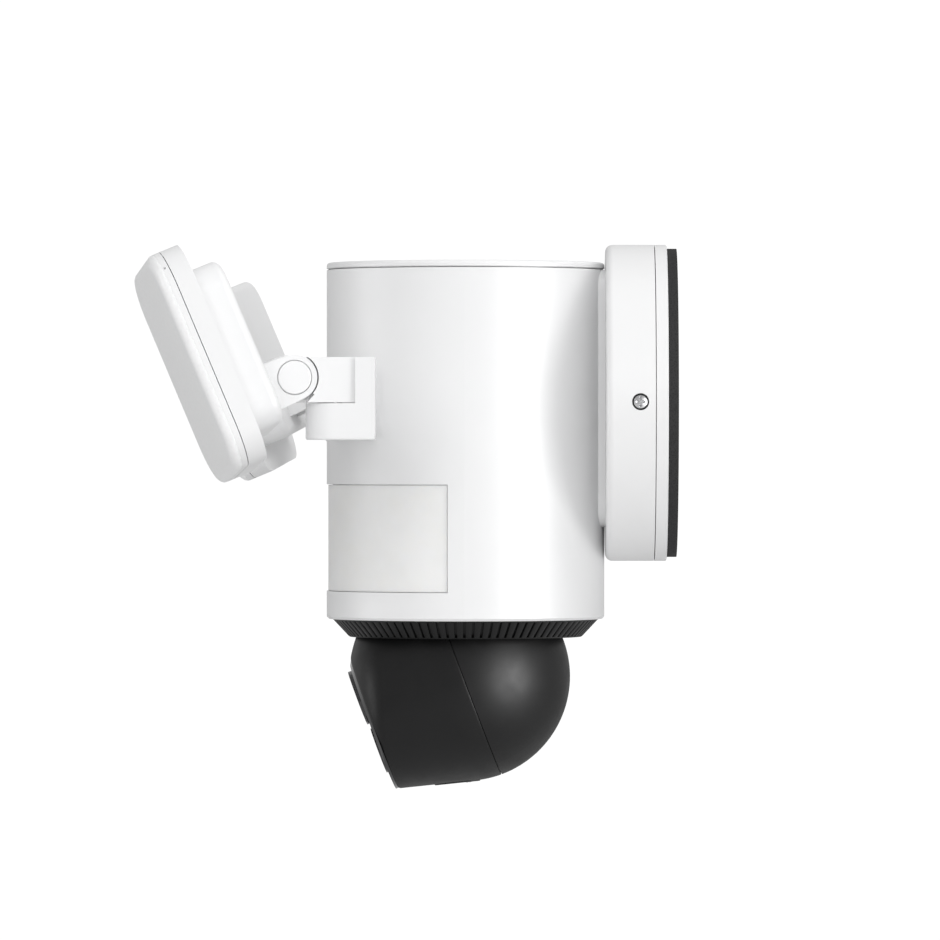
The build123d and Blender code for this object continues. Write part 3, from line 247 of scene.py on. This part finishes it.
def coated_glass():
    """Front element of a camera lens: near black with a faint blue-violet bloom."""
    look = Look("coated_glass", Coat_Weight=1.0, Coat_Roughness=0.02, Specular_IOR_Level=0.7)
    look.shader.inputs["Coat Tint"].default_value = (0.72, 0.78, 1.0, 1)
    bloom = look.noise(6 * MM, detail=1)
    look.set("Base Color", look.ramp(bloom, (0.004, 0.004, 0.007), (0.013, 0.010, 0.028)))
    look.set("Roughness", look.spread(look.noise(3 * MM), 0.03, 0.07))
    return look


TRACK_GRID = 6.25 * MM


def circuit_board():
    """Green solder mask with the copper tracks under it standing slightly proud."""
    look = Look("circuit_board", Specular_IOR_Level=0.5)
    brick = look.add("ShaderNodeTexBrick")
    brick.inputs["Scale"].default_value = 1 / TRACK_GRID
    brick.inputs["Mortar Size"].default_value = 0.03
    look.links.new(look.place, brick.inputs["Vector"])
    tracks = brick.outputs["Fac"]
    look.set("Base Color", look.mix(tracks, (0.012, 0.085, 0.035), (0.03, 0.16, 0.07)))
    look.set("Roughness", look.spread(look.noise(2 * MM), 0.3, 0.42))
    look.set("Normal", look.bump(tracks, 0.03 * MM, 0.7))
    return look


def acetal():
    return moulded("acetal", (0.76, 0.75, 0.69), 0.38, 0.4 * MM, 0.003 * MM, 0.04,
                   Subsurface_Weight=0.1, Subsurface_Scale=0.001)


LOOKS = {
    "white": white_plastic,
    "canopy_white": canopy_plastic,
    "window": window_plastic,
    "diffuser": diffuser_plastic,
    "black": black_plastic,
    "black_gloss": smoked_plastic,
    "rubber": foam_rubber,
    "steel": zinc_steel,
    "lens_glass": coated_glass,
    "circuit": circuit_board,
    "gear": acetal,
    "motor": motor_can,
    "aluminium": cast_aluminium,
}
materials = {slot: make().material for slot, make in LOOKS.items()}


def coat_frame():
    """Gives every CAD node the procedural material of its slot."""
    for name, node in nodes.items():
        node.data.materials.clear()
        node.data.materials.append(materials[SLOT_OF[name]])


# ---------------------------------------------------------------- mesh helpers
def joint_place(name):
    return next(Vector(joint["pos_m"]) for joint in record["behaviour"]["joints"] if joint["name"] == name)


def new_piece(name, points, faces, slot, body, sharp_angle=40):
    """Smooth-shaded mesh object of one piece, riding on its CAD body."""
    mesh = bpy.data.meshes.new(name)
    mesh.from_pydata([tuple(point) for point in points], [], faces)
    mesh.validate()
    piece = bpy.data.objects.new(name, mesh)
    bpy.context.scene.collection.objects.link(piece)
    mesh.materials.append(materials[slot])
    mesh.shade_smooth()
    mesh.set_sharp_from_angle(angle=math.radians(sharp_angle))
    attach(piece, body)
    return piece


def grid_faces(rows, columns):
    """Quads between closed rows of points; each row has the same number of columns."""
    faces = []
    for row in range(rows - 1):
        for column in range(columns):
            after = (column + 1) % columns
            faces.append((row * columns + column, row * columns + after,
                          (row + 1) * columns + after, (row + 1) * columns + column))
    return faces


def smooth_min(a, b, soft):
    """The smaller of two numbers, with a rounded change from one to the other."""
    share = max(0.0, min(1.0, 0.5 + 0.5 * (b - a) / soft))
    return b + (a - b) * share - soft * share * (1 - share)


def smooth_step(low, high, value):
    t = max(0.0, min(1.0, (value - low) / (high - low)))
    return t * t * (3 - 2 * t)


# ---------------------------------------------------------------- camera head
HEAD_PITCH = math.radians(20.5)
HEAD_CONE = math.radians(14.5)
HEAD_R = 39.7 * MM
FACE_AT = 38.6 * MM
RIM_BALL = (-10.0 * MM, -7.4 * MM, 56.6 * MM)
RIM_BLEND = 4 * MM
REVEAL = 0.3 * MM
SEAM_ROUND = 0.25 * MM
SEAM_LIP = 1.2 * MM
FACE_EDGE = 0.7 * MM
FACE_LIP = 2.2 * MM
HEAD_COLUMNS = 192
HEAD_ROWS = 72
HEAD = joint_place("head_tilt")
LOOK = Vector((0, -math.cos(HEAD_PITCH), -math.sin(HEAD_PITCH)))
LOOK_UP = Vector((0, -math.sin(HEAD_PITCH), math.cos(HEAD_PITCH)))
RIGHT = Vector((1, 0, 0))


def front_radius(forward, turn):
    """Radius of the front shell round the look direction: ball, then cone, rounded over at its upper rim."""
    tangent = HEAD_R * math.sin(HEAD_CONE)
    if forward < tangent:
        plain = math.sqrt(HEAD_R ** 2 - forward ** 2)
    else:
        plain = (HEAD_R - forward * math.sin(HEAD_CONE)) / math.cos(HEAD_CONE)
    back, low, ball_r = RIM_BALL
    offset = low * math.cos(turn)
    rounded = offset + math.sqrt(ball_r ** 2 - (forward - back) ** 2 - low ** 2 + offset ** 2)
    return smooth_min(plain, rounded, RIM_BLEND)


def head_point(forward, turn, radius):
    """Point round the look direction; a turn of 0 is above it."""
    return HEAD + LOOK * forward + (RIGHT * math.sin(turn) + LOOK_UP * math.cos(turn)) * radius


def make_front_shell():
    """Front shell from the seam's rounded lip to the rounded edge of the face; rows are (forward, inset)."""
    rows = [(REVEAL, SEAM_LIP), (REVEAL, SEAM_ROUND), (REVEAL + 0.08 * MM, 0.08 * MM)]
    start = REVEAL + SEAM_ROUND
    for step in range(HEAD_ROWS + 1):
        rows.append((start + (FACE_AT - FACE_EDGE - start) * step / HEAD_ROWS, 0.0))
    for angle in (22, 45, 67, 90):
        turn = math.radians(angle)
        rows.append((FACE_AT - FACE_EDGE + FACE_EDGE * math.sin(turn), FACE_EDGE * (1 - math.cos(turn))))
    rows.append((FACE_AT, FACE_LIP))
    points = []
    for forward, inset in rows:
        for column in range(HEAD_COLUMNS):
            turn = 2 * math.pi * column / HEAD_COLUMNS
            points.append(head_point(forward, turn, front_radius(forward, turn) - inset))
    shell = new_piece("head_front_skin", points, grid_faces(len(rows), HEAD_COLUMNS), "black", "head")
    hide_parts("head_front_shell")


# ---------------------------------------------------------------- vent ring
AXIS_Y = HEAD.y
VENT_TOP = -82.0 * MM
VENT_BOTTOM = -88.7 * MM
VENT_TOP_R = 50.4 * MM
VENT_BOTTOM_R = 44.1 * MM
VENT_RIBS = 90
RIB_DEPTH = 1.4 * MM
RIB_ROOT = 0.2 * MM
RIB_ROUND = 0.12 * MM
SLOT_WIDTH = 0.95 * MM
VENT_RIM = 0.45 * MM
VENT_COLUMNS = 360
VENT_SLOPE = (VENT_TOP_R - VENT_BOTTOM_R) / (VENT_TOP - VENT_BOTTOM)
RIB_TOP_R = VENT_TOP_R - VENT_RIM * VENT_SLOPE
RIB_BOTTOM_R = VENT_BOTTOM_R + VENT_RIM * VENT_SLOPE
RIB_TOP = VENT_TOP - VENT_RIM
RIB_BOTTOM = VENT_BOTTOM + VENT_RIM


def ring_point(radius, turn, height):
    return (radius * math.cos(turn), AXIS_Y + radius * math.sin(turn), height)


def make_vent_core():
    """Body of the ring: two thin rims, and the bottom of the slots between them."""
    section = [
        (47.8 * MM, VENT_TOP + 0.05 * MM), (VENT_TOP_R, VENT_TOP + 0.05 * MM), (VENT_TOP_R, VENT_TOP),
        (RIB_TOP_R, RIB_TOP), (RIB_TOP_R - RIB_DEPTH, RIB_TOP),
        (RIB_BOTTOM_R - RIB_DEPTH, RIB_BOTTOM), (RIB_BOTTOM_R, RIB_BOTTOM),
        (VENT_BOTTOM_R, VENT_BOTTOM + 0.1 * MM), (VENT_BOTTOM_R - 0.15 * MM, VENT_BOTTOM),
        (43.1 * MM, VENT_BOTTOM), (43.0 * MM, VENT_BOTTOM + 0.15 * MM), (43.0 * MM, VENT_BOTTOM + 1.6 * MM),
        (47.0 * MM, VENT_TOP - 0.2 * MM),
    ]
    turns = [2 * math.pi * column / VENT_COLUMNS for column in range(VENT_COLUMNS)]
    points = [ring_point(radius, turn, height) for radius, height in section for turn in turns]
    faces = grid_faces(len(section), VENT_COLUMNS)
    core = new_piece("vent_ring_core", points, faces, "black", "base", sharp_angle=25)
    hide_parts("vent_ring")


def make_vent_ribs():
    """Upright ribs between the rims, each with slightly rounded outer edges."""
    points, faces = [], []
    for rib in range(VENT_RIBS):
        turn = 2 * math.pi * (rib + 0.5) / VENT_RIBS
        first = len(points)
        for radius, height in ((RIB_TOP_R, RIB_TOP), (RIB_BOTTOM_R, RIB_BOTTOM)):
            half = math.pi / VENT_RIBS - SLOT_WIDTH / 2 / radius
            flat = 1 - RIB_ROUND / (half * radius)
            for depth, share in ((RIB_DEPTH + RIB_ROOT, 1), (RIB_ROUND, 1), (0, flat),
                                 (0, -flat), (RIB_ROUND, -1), (RIB_DEPTH + RIB_ROOT, -1)):
                points.append(ring_point(radius - depth, turn + half * share, height))
        for k in range(5):
            faces.append((first + k, first + k + 1, first + 7 + k, first + 6 + k))
    new_piece("vent_ring_ribs", points, faces, "black", "base", sharp_angle=60)


# ---------------------------------------------------------------- screws
SIDE_SCREW_Y = -14.3 * MM
SIDE_SCREW_FACE = 59.9 * MM
SIDE_SCREW_R = 2.45 * MM
SEAL_RINGS = ((2.2, -0.95), (2.3, -0.8), (2.75, -0.66), (3.1, -0.75), (3.15, -0.98))
SCREW_COLUMNS = 96
SCREW_RINGS = 30


def disc_points(place, normal, up, rings):
    """Points on rings round a centre, with their faces; each ring is (radius, height along the normal)."""
    across = up.cross(normal)
    points = []
    for radius, height in rings:
        for column in range(SCREW_COLUMNS):
            turn = 2 * math.pi * column / SCREW_COLUMNS
            spoke = across * math.cos(turn) + up * math.sin(turn)
            points.append(place + normal * height + spoke * radius)
    return points, grid_faces(len(rings), SCREW_COLUMNS)


def make_cross_screw(name, place, normal, up, radius, body):
    """Domed screw head with a cross recess."""
    rings = [(radius * max(ring, 0.02) / SCREW_RINGS, 0.0) for ring in range(SCREW_RINGS + 1)]
    rings += [(radius, -0.5 * MM), (radius, -0.9 * MM)]
    points, faces = disc_points(place, normal, up, rings)
    arm, reach, depth = 0.15 * radius, 0.6 * radius, 0.45 * radius
    across = up.cross(normal)
    for index in range((SCREW_RINGS + 1) * SCREW_COLUMNS):
        offset = points[index] - place
        x, y = abs(offset.dot(across)), abs(offset.dot(up))
        blade = min(max(x / arm, y / reach), max(y / arm, x / reach))
        dome = 0.22 * radius * (math.hypot(x, y) / radius) ** 2.6
        points[index] = points[index] - normal * (dome + depth * (1 - smooth_step(0.85, 1.3, blade)))
    return new_piece(name, points, faces, "steel", body)


def make_side_screws():
    """Canopy screws at both sides, each over a black seal in its counterbore."""
    up = Vector((0, 0, 1))
    seal_rings = [(radius * MM, height * MM) for radius, height in SEAL_RINGS]
    for name, side in (("left", -1), ("right", 1)):
        place = Vector((side * SIDE_SCREW_FACE, SIDE_SCREW_Y, 0))
        normal = Vector((side, 0, 0))
        screw = make_cross_screw(f"{name}_canopy_screw", place, normal, up, SIDE_SCREW_R, "base")
        if side > 0:
            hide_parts("canopy_side_screws")
        points, faces = disc_points(place, normal, up, seal_rings)
        new_piece(f"{name}_screw_seal", points, faces, "rubber", "base")


# ---------------------------------------------------------------- card cover under the head
CARD_AT = 17.0 * MM
CARD_LENGTH = 17.0 * MM
CARD_WIDTH = 9.0 * MM
CARD_HALF = (CARD_LENGTH - CARD_WIDTH) / 2
CARD_PROUD = 0.35 * MM
CARD_EDGE = -0.3 * MM
CARD_RINGS = ((0.02, 1), (0.25, 1), (0.5, 1), (0.75, 1), (0.93, 1), (0.97, 0.9), (0.99, 0.6))
CARD_COLUMNS = 128
CARD_SCREW_R = 1.5 * MM
CARD_SCREW_PROUD = 0.25 * MM


def under_skin(forward, across, height):
    """Point over the front shell's underside, height above its surface."""
    radius = front_radius(forward, math.pi)
    return head_point(forward, math.pi - across / radius, radius + height)


def make_card_cover():
    """Round-ended cover that follows the shell, with a softly rounded edge, and its screw."""
    rings = [(share, part * CARD_PROUD) for share, part in CARD_RINGS] + [(1.0, CARD_EDGE)]
    points = []
    for share, height in rings:
        for column in range(CARD_COLUMNS):
            turn = 2 * math.pi * column / CARD_COLUMNS
            forward = CARD_WIDTH / 2 * math.cos(turn) + (CARD_HALF if math.cos(turn) > 0 else -CARD_HALF)
            across = CARD_WIDTH / 2 * math.sin(turn)
            points.append(under_skin(CARD_AT + forward * share, across * share, height))
    cover = new_piece("card_cover_plate", points, grid_faces(len(rings), CARD_COLUMNS), "black", "head")
    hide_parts("card_cover")
    place = under_skin(CARD_AT - CARD_HALF, 0, CARD_PROUD + CARD_SCREW_PROUD)
    normal = LOOK * math.sin(HEAD_CONE) - LOOK_UP * math.cos(HEAD_CONE)
    screw = make_cross_screw("card_screw_head", place, normal, RIGHT, CARD_SCREW_R, "head")
    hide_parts("card_cover_screw")


# ---------------------------------------------------------------- lights
PANEL = 83.0 * MM
PANEL_CORNER = 15.0 * MM
PANEL_RISE = 16.7 * MM
PANEL_YAW = math.radians(10)
PANEL_TILT = math.radians(22.3)
PANEL_ROLL = math.radians(5.8)
LENS_FOOT = 33.0 * MM
LENS_TOP = 37.1 * MM
LENS_SIDE = LENS_FOOT + 0.25 * MM
SHOULDER = 3.1 * MM
SHOULDER_REACH = 4.2 * MM
SHOULDER_STEPS = 13
CROWN_STEPS = 26
CROWN_POWER = 3.2
CROWN_END = PANEL / 2 - 0.03 * MM
LEAST_CORNER = 0.36
MOST_CORNER = 0.98
ARC_STEPS = 14
SIDE_STEPS = 10


def rounded_square(half, corner):
    """Points round a square with rounded corners, the same number for any size."""
    points = []
    for quarter, (sign_x, sign_y) in enumerate(((1, 1), (-1, 1), (-1, -1), (1, -1))):
        start = quarter * math.pi / 2
        for step in range(ARC_STEPS + 1):
            turn = start + math.pi / 2 * step / ARC_STEPS
            points.append((sign_x * (half - corner) + corner * math.cos(turn),
                           sign_y * (half - corner) + corner * math.sin(turn)))
        x, y = points[-1]
        run = 2 * (half - corner) / SIDE_STEPS
        for step in range(1, SIDE_STEPS):
            points.append((x - math.cos(start) * run * step, y - math.sin(start) * run * step))
    return points


def lens_rows():
    """Rows (inset, depth) of the lens: foot, short upright side, rounded shoulder, then shallow crown."""
    rows = [(1.6 * MM, LENS_FOOT - 0.4 * MM), (0.25 * MM, LENS_FOOT), (0.06 * MM, LENS_FOOT + 0.08 * MM)]
    rows.append((0.0, LENS_SIDE))
    for step in range(1, SHOULDER_STEPS):
        turn = math.pi / 2 * step / SHOULDER_STEPS
        rows.append((SHOULDER_REACH * (1 - math.cos(turn)), LENS_SIDE + SHOULDER * math.sin(turn)))
    first_inset, first_depth = rows[-1]
    for step in range(1, CROWN_STEPS + 1):
        share = step / CROWN_STEPS
        inset = first_inset + (CROWN_END - first_inset) * share
        rows.append((inset, LENS_TOP - (LENS_TOP - first_depth) * (1 - share) ** CROWN_POWER))
    return rows


def make_lens(name, side):
    """Crowned front lens that fills the light's whole front and rolls over into the bezel's side."""
    across = Vector((math.cos(PANEL_YAW), side * math.sin(PANEL_YAW), 0))
    ahead = Vector((side * math.sin(PANEL_YAW), -math.cos(PANEL_YAW), 0))
    facing = ahead * math.cos(PANEL_TILT) - Vector((0, 0, math.sin(PANEL_TILT)))
    up = facing.cross(across)
    wide = across * math.cos(PANEL_ROLL) + up * (side * math.sin(PANEL_ROLL))
    tall = facing.cross(wide)
    middle = joint_place(f"{name}_light_tilt") + up * PANEL_RISE
    rows = lens_rows()
    points = []
    for inset, depth in rows:
        half = PANEL / 2 - inset
        corner = min(max(PANEL_CORNER - inset, half * LEAST_CORNER), half * MOST_CORNER)
        points += [middle + facing * depth + wide * x + tall * y for x, y in rounded_square(half, corner)]
    faces = grid_faces(len(rows), len(points) // len(rows))
    lens = new_piece(f"{name}_light_lens", points, faces, "diffuser", f"{name}_light", sharp_angle=60)
    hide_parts(f"{name}_light_diffuser")


# ---------------------------------------------------------------- stage
FLOOR_REACH = 12.0
FLOOR_BELOW = 1.6
FLOOR_GLOW = 0.75
WHITE = (1, 1, 1, 1)
SKY_SEEN = 1.05
AMBIENT = 0.53


def make_floor():
    """Pale paper well below the object, a little brighter to the camera, so that no horizon shows."""
    height = cad_box[0][2] - FLOOR_BELOW
    corners = [(x * FLOOR_REACH, y * FLOOR_REACH, height) for x, y in ((-1, -1), (1, -1), (1, 1), (-1, 1))]
    mesh = bpy.data.meshes.new("floor")
    mesh.from_pydata(corners, [], [(0, 1, 2, 3)])
    floor = bpy.data.objects.new("floor", mesh)
    bpy.context.scene.collection.objects.link(floor)
    look = Look("floor_paper", Roughness=0.9, Specular_IOR_Level=0.1)
    look.set("Base Color", look.ramp(look.noise(0.2), (0.76, 0.76, 0.76), (0.78, 0.78, 0.78)))
    path = look.add("ShaderNodeLightPath")
    seen = look.add("ShaderNodeMath", operation="MULTIPLY")
    seen.inputs[1].default_value = FLOOR_GLOW
    glow = look.add("ShaderNodeEmission")
    both = look.add("ShaderNodeAddShader")
    look.links.new(path.outputs["Is Camera Ray"], seen.inputs[0])
    look.links.new(seen.outputs[0], glow.inputs["Strength"])
    look.links.new(look.shader.outputs[0], both.inputs[0])
    look.links.new(glow.outputs[0], both.inputs[1])
    look.links.new(both.outputs[0], look.nodes["Material Output"].inputs["Surface"])
    mesh.materials.append(look.material)


def make_world():
    """White surroundings for the camera, with a softer, greyer light from them on the object."""
    world = bpy.data.worlds.new("studio")
    world.use_nodes = True
    bpy.context.scene.world = world
    tree = world.node_tree
    seen = tree.nodes["Background"]
    seen.inputs["Color"].default_value = WHITE
    seen.inputs["Strength"].default_value = SKY_SEEN
    cast = tree.nodes.new("ShaderNodeBackground")
    cast.inputs["Color"].default_value = WHITE
    cast.inputs["Strength"].default_value = AMBIENT
    path = tree.nodes.new("ShaderNodeLightPath")
    mix = tree.nodes.new("ShaderNodeMixShader")
    tree.links.new(path.outputs["Is Camera Ray"], mix.inputs[0])
    tree.links.new(cast.outputs[0], mix.inputs[1])
    tree.links.new(seen.outputs[0], mix.inputs[2])
    tree.links.new(mix.outputs[0], tree.nodes["World Output"].inputs["Surface"])


def soft_light(name, direction, distance, size, power, glossy=True, diffuse=True):
    """Round softbox, from a direction seen from the object's middle, aimed at it."""
    middle = (Vector(cad_box[0]) + Vector(cad_box[1])) / 2
    data = bpy.data.lights.new(name, "AREA")
    data.shape = "DISK"
    data.size = size
    data.energy = power
    lamp = bpy.data.objects.new(name, data)
    lamp.location = middle + Vector(direction).normalized() * distance
    lamp.rotation_euler = (middle - lamp.location).to_track_quat("-Z", "Y").to_euler()
    bpy.context.scene.collection.objects.link(lamp)
    lamp.visible_camera = False
    lamp.visible_glossy = glossy
    lamp.visible_diffuse = diffuse


CAMERA_DISTANCE = 2.92
CAMERA_Y = -0.0518
CAMERA_Z = -0.0209
FOCAL = 294.5
SENSOR = 36.0
FAR_CLIP = 60.0
AIM_RIGHT = math.radians(-0.52)
AIM_UP = math.radians(-0.09)


def make_camera():
    """Level camera square to the object's right side, nearly in line with the X axis."""
    data = bpy.data.cameras.new("camera")
    data.lens = FOCAL
    data.sensor_width = SENSOR
    data.clip_end = FAR_CLIP
    camera = bpy.data.objects.new("camera", data)
    camera.location = (CAMERA_DISTANCE, CAMERA_Y, CAMERA_Z)
    aim = Vector((-math.cos(AIM_RIGHT), math.sin(AIM_RIGHT), math.sin(AIM_UP)))
    camera.rotation_euler = aim.to_track_quat("-Z", "Y").to_euler()
    bpy.context.scene.collection.objects.link(camera)
    bpy.context.scene.camera = camera


coat_frame()
make_front_shell()
make_vent_core()
make_vent_ribs()
make_side_screws()
make_card_cover()
make_lens("left", -1)
make_lens("right", 1)
make_floor()
make_world()
soft_light("key", (0.60, 0.78, 0.12), 5.0, 2.3, 47, glossy=False)
soft_light("sheen", (0.61, 0.79, -0.02), 4.4, 3.0, 310, diffuse=False)
soft_light("front_sheen", (0.1, -1.0, 0.0), 4.4, 2.4, 50, diffuse=False)
soft_light("fill", (1.0, -0.1, 0.3), 6.0, 4.0, 143, glossy=False)
soft_light("front", (0.2, -1.0, -0.1), 4.8, 2.4, 5, glossy=False)
soft_light("top", (0.1, 0.6, 1.0), 4.0, 3.0, 55, glossy=False)
make_camera()
bpy.context.scene.view_settings.view_transform = "Standard"
